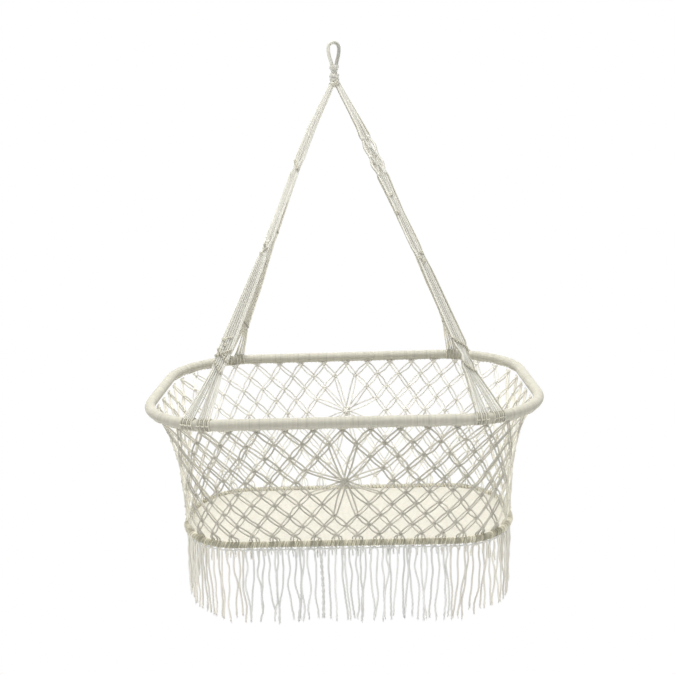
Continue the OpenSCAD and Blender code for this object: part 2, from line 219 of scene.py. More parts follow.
class Strands:
    """Collects quads with per-corner UVs, a per-vertex tint and a material index."""

    def __init__(self):
        self.verts, self.faces, self.uvs, self.tints, self.mats = [], [], [], [], []
        self.total = 0

    def add(self, verts, faces, uvs, tint=0.5, mat=0):
        verts = np.reshape(verts, (-1, 3))
        self.verts.append(verts)
        self.faces.append(faces + self.total)
        self.uvs.append(np.reshape(uvs, (-1, 2)))
        self.tints.append(np.broadcast_to(np.ravel(tint), (len(verts),)))
        self.mats.append(np.full(len(faces), mat))
        self.total += len(verts)

    def tubes(self, paths, radius, sides=8, tint=0.5, mat=0, groove=0.0, closed=False,
              flatten=(1.0, 1.0), ref=None, phase=0.0):
        """Tubes along paths (tube, point, xyz) or one path; groove cuts twisted plies into them.

        flatten scales the section along ref and across it. u runs round a tube, v along it in
        metres.
        """
        paths = np.asarray(paths, float)
        if paths.ndim == 2:
            paths = paths[None]
        count, length, _ = paths.shape
        radius = np.broadcast_to(radius, (count, length))
        if closed:
            ahead = np.roll(paths, -1, 1) - np.roll(paths, 1, 1)
        else:
            ahead = np.concatenate([paths[:, 1:2] - paths[:, :1], paths[:, 2:] - paths[:, :-2],
                                    paths[:, -1:] - paths[:, -2:-1]], 1)
        ahead = unit(ahead)
        if ref is None:
            # carry the section along the path without twisting it
            across = np.empty_like(paths)
            side = np.where(np.abs(ahead[:, 0, 2:]) > 0.8, [1.0, 0, 0], [0, 0, 1.0])
            for i in range(length):
                side = square_to(side, ahead[:, i])
                across[:, i] = side
        else:
            across = square_to(ref, ahead)
        third = np.cross(ahead, across)
        steps = np.linalg.norm(np.diff(paths, axis=1), axis=-1)
        distance = np.concatenate([np.zeros((count, 1)), np.cumsum(steps, 1)], 1)

        angle = np.arange(sides) * TAU / sides
        ply_angle = PLIES * (angle - TAU * distance[:, :, None] / PLY_PITCH)
        ply_angle = ply_angle + np.reshape(phase, (-1, 1, 1))
        scale = radius[:, :, None] * (1 - groove * (0.5 - 0.5 * np.cos(ply_angle)))
        verts = paths[:, :, None] + scale[..., None] * (
            flatten[0] * np.cos(angle)[:, None] * across[:, :, None]
            + flatten[1] * np.sin(angle)[:, None] * third[:, :, None])

        index = np.arange(count * length * sides).reshape(count, length, sides)
        if closed:
            index = np.concatenate([index, index[:, :1]], 1)
            gap = np.linalg.norm(paths[:, :1] - paths[:, -1:], axis=-1)
            distance = np.concatenate([distance, distance[:, -1:] + gap], 1)
        near, far = index[:, :-1], index[:, 1:]
        faces = [quads(near, np.roll(near, -1, 2), np.roll(far, -1, 2), far)]
        u0 = np.arange(sides) / sides
        u1 = u0 + 1.0 / sides
        v0, v1 = distance[:, :-1, None], distance[:, 1:, None]
        wall_uvs = corner_uvs((u0, v0), (u1, v0), (u1, v1), (u0, v1))
        if not closed:
            for ring, order in ((index[:, 0], -1), (index[:, -1], 1)):
                for i in range(sides // 2 - 1):
                    cap = quads(ring[:, i], ring[:, i + 1], ring[:, -2 - i], ring[:, -1 - i])
                    faces.append(cap[:, ::order])
        faces = np.concatenate(faces)
        uvs = np.zeros((faces.size, 2))
        uvs[:len(wall_uvs)] = wall_uvs
        tint = np.broadcast_to(np.reshape(tint, (-1, 1, 1)), (count, length, sides))
        self.add(verts, faces, uvs, tint, mat)

    def make(self, name, mats, slot, body=None, replaces=None):
        verts, faces = np.concatenate(self.verts), np.concatenate(self.faces)
        mesh = bpy.data.meshes.new(name)
        mesh.vertices.add(len(verts))
        mesh.vertices.foreach_set("co", verts.astype(np.float32).ravel())
        mesh.loops.add(faces.size)
        mesh.loops.foreach_set("vertex_index", faces.astype(np.int32).ravel())
        mesh.polygons.add(len(faces))
        mesh.polygons.foreach_set("loop_start", np.arange(0, faces.size, 4, dtype=np.int32))
        mats_of_faces = np.concatenate(self.mats).astype(np.int32)
        mesh.polygons.foreach_set("material_index", mats_of_faces)
        uv_map = mesh.uv_layers.new(name="UVMap")
        uv_map.data.foreach_set("uv", np.concatenate(self.uvs).astype(np.float32).ravel())
        tints = mesh.attributes.new("tint", "FLOAT", "POINT")
        tints.data.foreach_set("value", np.concatenate(self.tints).astype(np.float32))
        mesh.update(calc_edges=True)
        mesh.polygons.foreach_set("use_smooth", np.full(len(faces), True))
        for material in mats:
            mesh.materials.append(material)
        made = bpy.data.objects.new(name, mesh)
        bpy.context.scene.collection.objects.link(made)
        if body:
            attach(made, body)
        if replaces:
            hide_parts(replaces)
        return made


# ---------------------------------------------------------------- shader nodes
class Nodes:
    """Short calls that add nodes to a tree; an input takes a socket or a plain value."""

    def __init__(self, tree):
        self.tree = tree

    def feed(self, node, inputs):
        for key, value in inputs.items():
            socket = node.inputs[key]
            if isinstance(value, bpy.types.NodeSocket):
                self.tree.links.new(value, socket)
            else:
                socket.default_value = (*value, 1.0) if socket.type == "RGBA" else value

    def add(self, kind, inputs={}, **settings):
        node = self.tree.nodes.new("ShaderNode" + kind)
        for key, value in settings.items():
            setattr(node, key, value)
        self.feed(node, inputs)
        return node

    def math(self, operation, *values):
        return self.add("Math", dict(enumerate(values)), operation=operation).outputs[0]

    def mix(self, factor, a, b, blend="MIX"):
        inputs = {0: factor, 6: a, 7: b}
        return self.add("Mix", inputs, data_type="RGBA", blend_type=blend).outputs[2]

    def noise(self, vector, scale, detail, rough):
        inputs = {"Scale": scale, "Detail": detail, "Roughness": rough, "Vector": vector}
        return self.add("TexNoise", inputs).outputs["Fac"]

    def remap(self, value, source, target):
        return self.add("MapRange", dict(enumerate((value, *source, *target)))).outputs[0]

    def bump(self, height, strength, distance):
        inputs = {"Strength": strength, "Distance": distance, "Height": height}
        return self.add("Bump", inputs).outputs[0]

    def split(self, vector):
        return self.add("SeparateXYZ", {0: vector}).outputs


def new_material(name):
    """A material with its nodes, its Principled surface and its output."""
    material = bpy.data.materials.new(name)
    material.use_nodes = True
    material.node_tree.nodes.clear()
    nodes = Nodes(material.node_tree)
    output = nodes.add("OutputMaterial")
    surface = nodes.add("BsdfPrincipled")
    nodes.feed(output, {0: surface.outputs[0]})
    return material, nodes, surface, output


# ---------------------------------------------------------------- materials
def cord_material(name, light, dark, plies=3, pitch=0.008, groove=0.5, bump=0.0004,
                  fuzz=0.25, spread=0.16):
    """Twisted cotton with diagonal plies laid out from the UV.

    groove is painted shade in the hollows between plies, bump is relief in metres, fuzz is sheen
    and spread is how far the tint of single cords differs.
    """
    material, nodes, surface, _ = new_material(name)
    coords = nodes.add("TexCoord").outputs
    around, along = nodes.split(coords["UV"])[:2]
    turn = nodes.math("SUBTRACT", around, nodes.math("DIVIDE", along, pitch))
    wave = nodes.math("COSINE", nodes.math("MULTIPLY", turn, TAU * plies))
    ridge = nodes.math("POWER", nodes.remap(wave, (-1, 1), (0, 1)), 0.55)
    fibre = nodes.noise(coords["Object"], scale=1400, detail=2, rough=0.7)
    blotch = nodes.noise(coords["Object"], scale=28, detail=4, rough=0.6)
    fine = nodes.noise(coords["Object"], scale=240, detail=3, rough=0.6)
    tint = nodes.add("Attribute", attribute_name="tint").outputs["Fac"]
    tint = nodes.remap(tint, (0, 1), (1 - spread, 1 + spread * 0.55))
    # painted shade: the colour darkens in the hollows between plies
    ply_groove_shade = nodes.math("SUBTRACT", 1.0, ridge)
    colour = nodes.mix(nodes.math("MULTIPLY", ply_groove_shade, groove), light, dark)
    # faint yellowed blotches, then fine dark specks
    colour = nodes.mix(nodes.remap(blotch, (0.5, 0.8), (0, 0.12)), colour, (0.62, 0.55, 0.42))
    colour = nodes.mix(nodes.remap(fine, (0.35, 0.75), (0.0, 0.22)), colour, dark)
    grey = nodes.add("CombineColor", {0: tint, 1: tint, 2: tint}).outputs[0]
    colour = nodes.mix(1.0, colour, grey, blend="MULTIPLY")
    roughness = nodes.remap(fibre, (0.2, 0.8), (0.74, 0.97))
    height = nodes.math("ADD", nodes.math("MULTIPLY", ridge, 0.75),
                        nodes.math("MULTIPLY", fibre, 0.3))
    nodes.feed(surface, {
        "Base Color": colour,
        "Roughness": roughness,
        "Normal": nodes.bump(height, strength=0.8, distance=bump),
        "Sheen Weight": fuzz,
        "Sheen Roughness": 0.55,
        "Sheen Tint": (1, 0.98, 0.93),
        "Specular IOR Level": 0.22,
    })
    return material


def cloth_material(name, light, dark, period=0.0060):
    """Plain weave: over-and-under threads in x and y, with painted shade in the gaps between them.
    """
    material, nodes, surface, _ = new_material(name)
    coords = nodes.add("TexCoord").outputs["Object"]
    drift = nodes.add("TexNoise", {"Scale": 22, "Vector": coords}).outputs["Color"]
    # the threads wander by up to 4 mm
    warped = nodes.add("VectorMath", {0: drift, 1: (0.004, 0.004, 0), 2: coords},
                       operation="MULTIPLY_ADD").outputs[0]
    x, y = nodes.split(warped)[:2]
    wave_x = nodes.math("SINE", nodes.math("MULTIPLY", x, TAU / period))
    wave_y = nodes.math("SINE", nodes.math("MULTIPLY", y, TAU / period))
    over = nodes.math("MULTIPLY", wave_x, wave_y)
    size_x = nodes.math("ABSOLUTE", wave_x)
    size_y = nodes.math("ABSOLUTE", wave_y)
    thread = nodes.math("POWER", nodes.math("MULTIPLY", size_x, size_y), 0.4)
    slub = nodes.noise(coords, scale=60, detail=4, rough=0.7)
    nub = nodes.noise(coords, scale=210, detail=2, rough=0.6)
    fibre = nodes.noise(coords, scale=1500, detail=2, rough=0.7)
    # painted shade in the gaps and where a thread dips under, then uneven thread and small nubs,
    # each laid over the last
    colour = nodes.mix(nodes.remap(thread, (0.1, 0.75), (0.75, 0.0)), light, dark)
    colour = nodes.mix(nodes.remap(over, (-1, 1), (0.16, 0.0)), colour, dark)
    colour = nodes.mix(nodes.remap(slub, (0.45, 0.8), (0, 0.3)), colour, (0.72, 0.66, 0.52))
    colour = nodes.mix(nodes.remap(nub, (0.5, 0.68), (0, 0.42)), colour, (0.5, 0.455, 0.35))
    roughness = nodes.remap(fibre, (0.2, 0.8), (0.8, 0.98))
    relief = nodes.math("ADD", nodes.math("MULTIPLY", over, 0.35),
                        nodes.math("MULTIPLY", fibre, 0.2))
    height = nodes.math("ADD", thread, relief)
    nodes.feed(surface, {
        "Base Color": colour,
        "Roughness": roughness,
        "Normal": nodes.bump(height, strength=0.9, distance=0.0008),
        "Sheen Weight": 0.3,
        "Sheen Roughness": 0.6,
        "Specular IOR Level": 0.2,
    })
    return material


def cane_material(name, light, dark):
    """Peeled cane: fine grain, blotches, small dark spots and a dull sheen."""
    material, nodes, surface, _ = new_material(name)
    coords = nodes.add("TexCoord").outputs["Object"]
    fine = nodes.noise(coords, scale=900, detail=3, rough=0.7)
    blotch = nodes.noise(coords, scale=30, detail=5, rough=0.6)
    spots = nodes.add("TexVoronoi", {"Scale": 7, "Vector": coords}).outputs["Distance"]
    colour = nodes.mix(nodes.remap(blotch, (0.3, 0.75), (0, 0.7)), light, dark)
    colour = nodes.mix(nodes.remap(fine, (0.4, 0.8), (0, 0.35)), colour, dark)
    colour = nodes.mix(nodes.remap(spots, (0.0, 0.12), (0.5, 0.0)), colour, (0.2, 0.12, 0.06))
    nodes.feed(surface, {
        "Base Color": colour,
        "Roughness": nodes.remap(fine, (0.3, 0.8), (0.4, 0.65)),
        "Normal": nodes.bump(fine, strength=0.5, distance=0.0003),
    })
    return material


UNLAID = dict(plies=1, pitch=1e9, groove=0.0, bump=0.0002)  # no plies to be seen
STRAP_LOOK = dict(spread=0.16, groove=0.3, bump=0.00015, fuzz=0.12)
FRINGE_LOOK = dict(spread=0.14, groove=0.35, fuzz=0.0)

CORD = cord_material("cotton_cord", (0.76, 0.74, 0.64), (0.46, 0.43, 0.34))
STRAP = cord_material("strap_cord", (0.715, 0.705, 0.64), (0.6, 0.58, 0.505), **STRAP_LOOK)
EYE = cord_material("eye_cord", (0.64, 0.63, 0.565), (0.46, 0.44, 0.37),
                    spread=0.3, fuzz=0.15, **UNLAID)
STRAP_BACK = cord_material("strap_cord_back", (0.74, 0.72, 0.63), (0.56, 0.54, 0.46),
                           **STRAP_LOOK)
# the same cotton darkened as painted shade, for the turns on the hoop, knots and a dark edge
TURN_PAINTED_SHADE = cord_material("rail_turn_cord", (0.6, 0.58, 0.485), (0.36, 0.34, 0.265), spread=0.26)
# the same cotton darkened as painted shade, for the front net panels
NET_PAINTED_SHADE = cord_material("net_cord", (0.6, 0.58, 0.505), (0.345, 0.325, 0.265),
                    spread=0.22, groove=0.65)
# the same cotton painted lighter as painted light, for the net's end panels
NET_END_PAINTED_LIGHT = cord_material("net_cord_ends_painted_light", (0.84, 0.815, 0.715), (0.58, 0.555, 0.455),
                        spread=0.22, groove=0.6)
# the same cotton painted lighter as painted light, for the net's back panels
NET_BACK_PAINTED_LIGHT = cord_material("net_cord_back_painted_light", (0.86, 0.845, 0.785), (0.64, 0.62, 0.545),
                         spread=0.22, groove=0.6)
# the same cotton darkened as painted shade, for the wrapping of the upper hoop
WRAP_PAINTED_SHADE = cord_material("hoop_wrap", (0.47, 0.455, 0.385), (0.32, 0.3, 0.235),
                     spread=0.2, **UNLAID)
# the same cotton darkened as painted shade, for the hitches on the front of the lower hoop
HITCH_PAINTED_SHADE = cord_material("hitch_cord", (0.66, 0.635, 0.5), (0.33, 0.305, 0.215),
                      spread=0.45, groove=0.65)
# the same cotton painted lighter as painted light, for the back and ends of the lower hoop
HITCH_BACK_PAINTED_LIGHT = cord_material("hitch_cord_back_painted_light", (0.82, 0.79, 0.66), (0.5, 0.47, 0.35), spread=0.2)
FRINGE = cord_material("fringe_cord", (0.8, 0.8, 0.775), (0.64, 0.64, 0.615), **FRINGE_LOOK)
FRINGE_END = cord_material("fringe_cord_end", (0.84, 0.815, 0.745), (0.68, 0.66, 0.59),
                           **FRINGE_LOOK)
CLOTH = cloth_material("woven_cotton", light=(0.715, 0.695, 0.62), dark=(0.38, 0.35, 0.27))
CANE = cane_material("cane_rod", light=(0.58, 0.42, 0.22), dark=(0.36, 0.23, 0.1))


# ---------------------------------------------------------------- net
# gaps left round each rosette: row -> distances in columns from the rosette's own column
OPEN = {3: (0,), 4: (1,), 5: (0, 2), 6: (1,), 7: (0,)}
ROSETTE_ROW = 5
ROSETTE_COLUMNS = {"front": 0, "back": KNOTS}
# panel name, its first column, its number of columns
PANELS = [("front", -8, 17), ("front_right", 9, 7), ("right", 16, 11), ("back_right", 27, 7),
          ("back", 34, 17), ("back_left", 51, 7), ("left", 58, 11), ("front_left", 69, 7)]


def flare(t):
    """How far the net's length has drawn in at depth t, quickest at the top."""
    return (1 - np.exp(-t / 0.22)) / (1 - math.exp(-1 / 0.22))


def net_at(z, u):
    """A point of the net's surface; z is measured from the upper hoop (negative)."""
    t = -z / DEPTH
    half_x = UPPER_X - (UPPER_X - LOWER_X) * flare(t)
    half_y = UPPER_Y - (UPPER_Y - LOWER_Y) * (0.3 * t + 0.7 * t * t)
    corner = UPPER_CORNER - (UPPER_CORNER - LOWER_CORNER) * t + EASE * 4 * t * (1 - t)
    return beside((half_x, half_y, np.minimum(corner, half_y - 0.004)), u, UPPER_Z + z)


def net_normal(z, u):
    step = 1e-3
    along = net_at(z, u + step) - net_at(z, u - step)
    down = net_at(z - step, u) - net_at(z + step, u)
    return unit(np.cross(along, down))


def has_knot(row, column):
    for rosette in ROSETTE_COLUMNS.values():
        gap = (column - rosette) % COLUMNS
        if min(gap, COLUMNS - gap) in OPEN.get(row, ()):
            return False
    return True


def net_knot(row, column):
    """Place and outward normal of a knot, slightly out of true."""
    column = column % COLUMNS
    shift_z, shift = np.random.default_rng(1000 * row + column).normal(0, 0.0011, 2)
    z = -FIRST_ROW - ROW_STEP * (row - 1) + (0 if row == 1 else shift_z)
    place = net_at(z, column / COLUMNS + shift / UPPER_LENGTH)
    return place, net_normal(z, column / COLUMNS)


def net_sides(strands, links):
    """A pair of cords for each (start, its normal, end, its normal)."""
    start, start_out, end, end_out = np.array(links).swapaxes(0, 1)
    out = unit(start_out + end_out)
    side = unit(np.cross(unit(end - start), out))
    shape = (len(links), 1, 1)
    t = np.linspace(0, 1, 11)[None, :, None]
    belly = np.sin(math.pi * t) ** 0.7
    pair = []
    for way in (-1, 1):
        spread = 0.0026 + rng.uniform(0.0013, 0.0028, shape) * belly
        wobble = (rng.normal(0, 0.0006, shape)
                  * np.sin(TAU * t + rng.uniform(0, 6, shape)) * belly)
        lift = rng.normal(0, 0.0009, shape) * belly + 0.0004 * way
        pair.append(lerp(start[:, None], end[:, None], t)
                    + side[:, None] * (way * spread + wobble) + out[:, None] * lift)
    for paths in pair:
        strands.tubes(paths, NET_R, sides=6, tint=rng.uniform(0, 1, len(paths)))


def net_ends(strands, links):
    """Single cords that fan from the last knots on to the lower hoop."""
    start, _, end, out = np.array(links).swapaxes(0, 1)
    t = np.linspace(0, 1, 11)[None, :, None]
    tangent = unit(np.cross([0, 0, 1.0], out))
    sideways = ((end - start) * tangent).sum(-1)[:, None, None]
    fan = (1 - (1 - t) ** 2.8) * 1.04 - 0.04 * t - t
    paths = (lerp(start[:, None], end[:, None], t) + out[:, None] * (0.0060 * t ** 1.5)
             + tangent[:, None] * sideways * fan
             + 0.0006 * np.sin(math.pi * t) * rng.normal(0, 1, (len(start), 1, 3)))
    strands.tubes(paths, NET_R, sides=6, tint=rng.uniform(0, 1, len(paths)))


def net_knots(strands, knots):
    """A coil at each knot with two short bars across its face."""
    place, out = np.array(knots).swapaxes(0, 1)
    up = np.array([0.0, 0, 1]) + rng.normal(0, 0.12, (len(place), 3))
    up = square_to(up, out)
    width = np.cross(up, out)
    wound = coil(place, width, up, half=(0.0033, 0.0024), height=0.0056, turns=2.5)
    strands.tubes(wound, NET_R * 0.88, sides=6, tint=rng.uniform(0, 0.8, len(place)))
    t = np.linspace(-1, 1, 7)[:, None]
    for way in (1, -1):
        bars = (place[:, None] + width[:, None] * t * 0.0039
                + up[:, None] * way * (0.0015 + t * 0.35 * 0.0024)
                + out[:, None] * (0.0039 - 0.0026 * t ** 2))
        strands.tubes(bars, NET_R * 0.92, sides=6, tint=rng.uniform(0.2, 1, len(place)))


def net_tops(strands, knots):
    """Four short cords from the upper hoop to each knot of the first row."""
    place, out = np.array(knots).swapaxes(0, 1)
    tangent = unit(np.cross([0, 0, 1.0], out))
    t = np.linspace(0, 1, 5)[None, :, None]
    for offset in (-0.0085, -0.003, 0.003, 0.0085):
        top = place + tangent * offset
        top[:, 2] = NET_HEAD_Z
        bow = tangent[:, None] * (offset * 0.25) * np.sin(math.pi * t)
        paths = lerp(place[:, None], top[:, None], t) + bow
        strands.tubes(paths, NET_R, sides=6, tint=rng.uniform(0, 1, len(place)))


def net_material(name):
    # back panels take the cord painted lighter as painted light, end panels too; the front panels
    # take the cord darkened as painted shade
    if name.startswith("back"):
        return NET_BACK_PAINTED_LIGHT
    return NET_END_PAINTED_LIGHT if name in ("left", "right") else NET_PAINTED_SHADE


def net_panel(name, first, count):
    sides, ends, knots, top_knots = [], [], [], []
    end_z = -DEPTH + LOWER_R * 0.75
    for row in range(1, ROWS + 1):
        for column in range(COLUMNS):
            if (column - first) % COLUMNS >= count or (column + row) % 2 == 0:
                continue
            if not has_knot(row, column):
                continue
            knot = net_knot(row, column)
            knots.append(knot)
            if row == 1:
                top_knots.append(knot)
            for way in (-1, 1):
                if row == ROWS:
                    for reach in (0.2, 0.47):
                        u = (column + way * reach) / COLUMNS
                        ends.append((*knot, net_at(end_z, u), net_normal(end_z, u)))
                elif has_knot(row + 1, column + way):
                    sides.append((*knot, *net_knot(row + 1, column + way)))
    strands = Strands()
    net_sides(strands, sides)
    net_ends(strands, ends)
    net_knots(strands, knots)
    net_tops(strands, top_knots)
    return strands.make("net_cords_" + name, [net_material(name)], "net_cord", "upper",
                        replaces="net_" + name)


def rosette(side, column):
    """Twelve pairs of cords running into one large knot."""
    strands = Strands()
    centre = net_at(-FIRST_ROW - ROW_STEP * (ROSETTE_ROW - 1), column / COLUMNS)
    out = net_knot(ROSETTE_ROW, column)[1]
    links = []
    for row, reach in ((2, 1), (3, 2), (4, 3), (6, 3), (7, 2), (8, 1)):
        for way in (-1, 1):
            end, end_out = net_knot(row, column + way * reach)
            links.append((centre + unit(end - centre) * 0.004, out, end, end_out))
    net_sides(strands, links)
    up = square_to(np.array([0, 0, 1.0]), out)
    width = np.cross(up, out)
    angle = np.linspace(0, TAU, 28, endpoint=False)[:, None]
    # ring radius, lift from the net
    for radius, lift in ((0.0072, 0.0), (0.0052, 0.0022), (0.0028, 0.0036),
                         (0.0052, -0.0022), (0.0028, -0.0034)):
        ring = (centre + out * (lift + 0.0006 * np.sin(6 * angle))
                + np.cos(angle) * width * radius + np.sin(angle) * up * radius * 0.9)
        strands.tubes(ring, 0.0018, tint=rng.uniform(0.2, 0.9), closed=True, groove=0.22)
    t = np.linspace(-1, 1, 9)[:, None]
    for angle in np.arange(6) * TAU / 6 + 0.2:
        across = math.cos(angle) * width + math.sin(angle) * up
        bar = centre + t * 0.0085 * across + out * (0.0052 - 0.0046 * t ** 2)
        strands.tubes(bar, NET_R, sides=6, tint=rng.uniform(0.2, 1))
    return strands.make("rosette_knot_" + side, [net_material(side)], "net_cord", "upper",
                        replaces="rosette_" + side)


net_pieces = [net_panel(*panel) for panel in PANELS]
net_pieces += [rosette(side, column) for side, column in ROSETTE_COLUMNS.items()]
for piece in net_pieces:
    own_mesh(piece)


# ---------------------------------------------------------------- hoops
def upper_wrapping():
    """The upper hoop wound with cord: one helical groove per turn, slightly uneven."""
    sides, steps_per_turn = 20, 4
    groove_depth = 0.0004
    turns = int(UPPER_LENGTH / 0.0026)
    count = turns * steps_per_turn
    s = np.arange(count)[:, None] / count * UPPER_LENGTH
    lump_at = np.linspace(0, UPPER_LENGTH, 260)
    lump_size = np.r_[np.random.default_rng(5).normal(0, 1, 259), 0]
    lump = np.interp(s, lump_at, lump_size) * 0.00012
    angle = np.arange(sides) * TAU / sides
    groove = (0.5 + 0.5 * np.cos(TAU * s / (UPPER_LENGTH / turns) + angle)) ** 2.0
    radius = UPPER_R - groove_depth * groove - np.abs(lump)
    # two narrow dips in the wrapping, one at the front and one at the back
    for dip in (0.0555, UPPER_LENGTH / 2 - 0.0755):
        gap = np.abs((s - dip + UPPER_LENGTH / 2) % UPPER_LENGTH - UPPER_LENGTH / 2)
        radius = radius - 0.0011 * np.exp(-(gap / 0.0016) ** 2)
    verts = beside(UPPER, s / UPPER_LENGTH, UPPER_Z + radius * np.sin(angle),
                   out=radius * np.cos(angle))
    index = np.arange(count * sides).reshape(count, sides)
    ahead = np.roll(index, -1, 0)
    faces = quads(index, ahead, np.roll(ahead, -1, 1), np.roll(index, -1, 1))
    u0 = np.arange(sides) / sides
    u1 = u0 + 1 / sides
    s1 = s + UPPER_LENGTH / count
    shade = np.random.default_rng(9)
    dark = shade.uniform(0, 1, turns + 1) < 0.05
    turn_tint = np.where(dark, 0.0, shade.uniform(0.45, 1, turns + 1))
    # painted shade: the tint darkens in each turn's groove; the rare dark turns are tone that
    # differs at random
    tint = 0.75 * turn_tint[np.arange(count) // steps_per_turn][:, None] + 0.25 - 0.5 * groove
    strands = Strands()
    strands.add(verts, faces, corner_uvs((u0, s), (u0, s1), (u1, s1), (u1, s)), clip01(tint))
    strands.make("upper_hoop_wrapping", [WRAP_PAINTED_SHADE], "cord_cream", "upper",
                 replaces="upper_hoop_wrap")


def net_head():
    """Cord under the upper hoop, hitches at each net column and stitches all round."""
    strands = Strands()
    line = beside(UPPER, np.arange(1600) / 1600, NET_HEAD_Z)
    strands.tubes(line, NET_HEAD_R, closed=True, tint=0.4, groove=PLY_GROOVE)
    for offset in (-0.0104, -0.0070, -0.0048, -0.0014, 0.0014, 0.0048, 0.0070, 0.0104):
        u = np.arange(KNOTS) / KNOTS + offset / UPPER_LENGTH
        hitches = hoop_turns(UPPER, NET_HEAD_Z + 0.0003, u, radius=NET_HEAD_R + 0.0010,
                             skew=0.0008 * np.sign(offset), segments=14)
        strands.tubes(hitches, 0.00125, sides=6, closed=True, tint=rng.uniform(0, 0.9, KNOTS))
    count = 210
    stitches = hoop_turns(UPPER, NET_HEAD_Z + 0.0012, (np.arange(count) + 0.5) / count,
                          radius=NET_HEAD_R + 0.0016, skew=0.0010, segments=14)
    strands.tubes(stitches, 0.00095, sides=6, closed=True, tint=rng.uniform(0, 0.8, count))
    strands.make("net_head_hitches", [CORD], "cord_cream", "upper", replaces="net_head_cord")


def lower_hitches():
    """The lower hoop: a core with slanted half hitches over it."""
    strands = Strands()
    line = beside(LOWER, np.arange(900) / 900, LOWER_Z)
    strands.tubes(line, LOWER_R - 0.0016, sides=12, closed=True, tint=0.15, ref=[0, 0, 1.0])
    count = 420
    u = (np.arange(count) + 0.5) / count
    pairing = np.where(np.arange(count) % 2 == 0, 0.0006, -0.0006)
    hitches = hoop_turns(LOWER, LOWER_Z, u + pairing / LOWER_LENGTH,
                         radius=LOWER_R - 0.0013, skew=0.0026, segments=20)
    x, y = plan(*LOWER, u)[:2]
    # painted light: the back and ends take the lighter hitch cord; the front takes the cord
    # darkened as painted shade
    back_and_ends_painted_light = (y > 0.04) | (np.abs(x) > LOWER_X - 0.03)  # back and ends
    for mat, chosen in enumerate((~back_and_ends_painted_light, back_and_ends_painted_light)):
        strands.tubes(hitches[chosen], 0.00125, sides=6, closed=True,
                      tint=rng.uniform(0, 1, int(chosen.sum())), mat=mat)
    strands.make("lower_half_hitches", [HITCH_PAINTED_SHADE, HITCH_BACK_PAINTED_LIGHT], "hitch_cord", "lower",
                 replaces="lower_hoop_hitches")


upper_wrapping()
net_head()
lower_hitches()


# ---------------------------------------------------------------- floor
def woven_floor():
    """A sagging, slightly rippled sheet of cloth inside the lower hoop."""
    half_x, half_y, corner = np.array(LOWER) - LOWER_R + 0.0004
    count_x, count_y = 170, 70
    half_thickness = 0.0009
    column_x = half_x * np.sin(np.linspace(-1, 1, count_x) * math.pi / 2)[:, None]
    into_corner = np.abs(column_x) - (half_x - corner)
    rounded = half_y - corner + np.sqrt(np.maximum(corner * corner - into_corner ** 2, 0))
    edge_y = np.where(into_corner < 0, half_y, rounded)
    x = np.broadcast_to(column_x, (count_x, count_y))
    y = edge_y * np.linspace(-1, 1, count_y)
    inset = np.minimum(np.abs(np.abs(y) - edge_y), half_x - np.abs(x))
    inset = np.minimum(inset / 0.12, 1)
    sag = -0.0075 * (1 - (1 - inset) ** 2) - 0.001
    random = np.random.default_rng(3)
    ripple = np.zeros_like(sag)
    for _ in range(26):
        angle = random.uniform(0, math.pi)
        pace = random.uniform(18, 70)
        travel = pace * (x * math.cos(angle) + y * math.sin(angle))
        ripple += random.normal(0, 1) * np.sin(travel + random.uniform(0, 6)) / pace
    ripple *= 0.0035 * np.minimum(inset * 3, 1) + 0.001
    middle = LOWER_Z + sag + ripple
    verts = np.concatenate([points(x, y, middle + h).reshape(-1, 3)
                            for h in (half_thickness, -half_thickness)])
    index = np.arange(x.size).reshape(x.shape)
    top = quads(index[:-1, :-1], index[1:, :-1], index[1:, 1:], index[:-1, 1:])
    edge = np.concatenate([index[:, 0], index[-1, 1:], index[-2::-1, -1], index[0, -2:0:-1]])
    following = np.roll(edge, -1)
    rim = quads(edge + x.size, following + x.size, following, edge)
    faces = np.concatenate([top, top[:, ::-1] + x.size, rim])
    strands = Strands()
    strands.add(verts, faces, verts[faces][:, :, :2])
    strands.make("woven_cotton_floor", [CLOTH], "floor_cloth", "lower",
                 replaces="woven_floor")


woven_floor()


# ---------------------------------------------------------------- header cord and fringe
FRINGE_LENGTH = HEADER_Z - box("fringe_front")[0][2]
FRINGE_CORDS = 168
FRINGE_SIDES = ("front", "back", "left", "right", "corners")


def header_cord():
    """The cord under the lower hoop and the short lashings that tie it up."""
    strands = Strands()
    lashings = 84
    u = np.arange(1300) / 1300
    line = beside(LOWER, u, HEADER_Z + 0.0006 * np.sin(TAU * lashings * u))
    strands.tubes(line, HEADER_R * 0.92, closed=True, tint=0.6, groove=PLY_GROOVE)
    u = (np.arange(lashings)[:, None] + 0.25) / lashings
    t = np.linspace(0, 1, 7)
    top = LOWER_Z - LOWER_R * 0.7
    for way in (-1, 1):
        paths = beside(LOWER, u, top + (HEADER_Z + 0.0005 - top) * t,
                       out=0.002 + 0.003 * (1 - t), along=way * 0.0022 * t)
        strands.tubes(paths, 0.0010, sides=6, tint=rng.uniform(0, 1, lashings))
    strands.make("header_cord", [FRINGE], "fringe_cord", "lower",
                 replaces="fringe_header_cord")


def fringe_side(x, y):
    if abs(x) < LOWER_X - LOWER_CORNER:
        return "front" if y < 0 else "back"
    if abs(y) < LOWER_Y - LOWER_CORNER + 0.020:
        return "left" if x < 0 else "right"
    return "corners"


def frayed_end(strands, end, random):
    count = 8
    angle = random.uniform(0, TAU, count)[:, None]
    spread = random.uniform(0.0004, 0.0024, count)[:, None]
    length = random.uniform(0.006, 0.013, count)[:, None]
    t = np.linspace(0, 1, 5)
    reach = 0.0005 + spread * t ** 1.3
    threads = end + np.array([0, 0, 0.0025]) + points(
        reach * np.cos(angle), reach * np.sin(angle), -length * t)
    strands.tubes(threads, np.linspace(0.00075, 0.0003, 5), sides=4,
                  tint=random.uniform(0.3, 1, count))


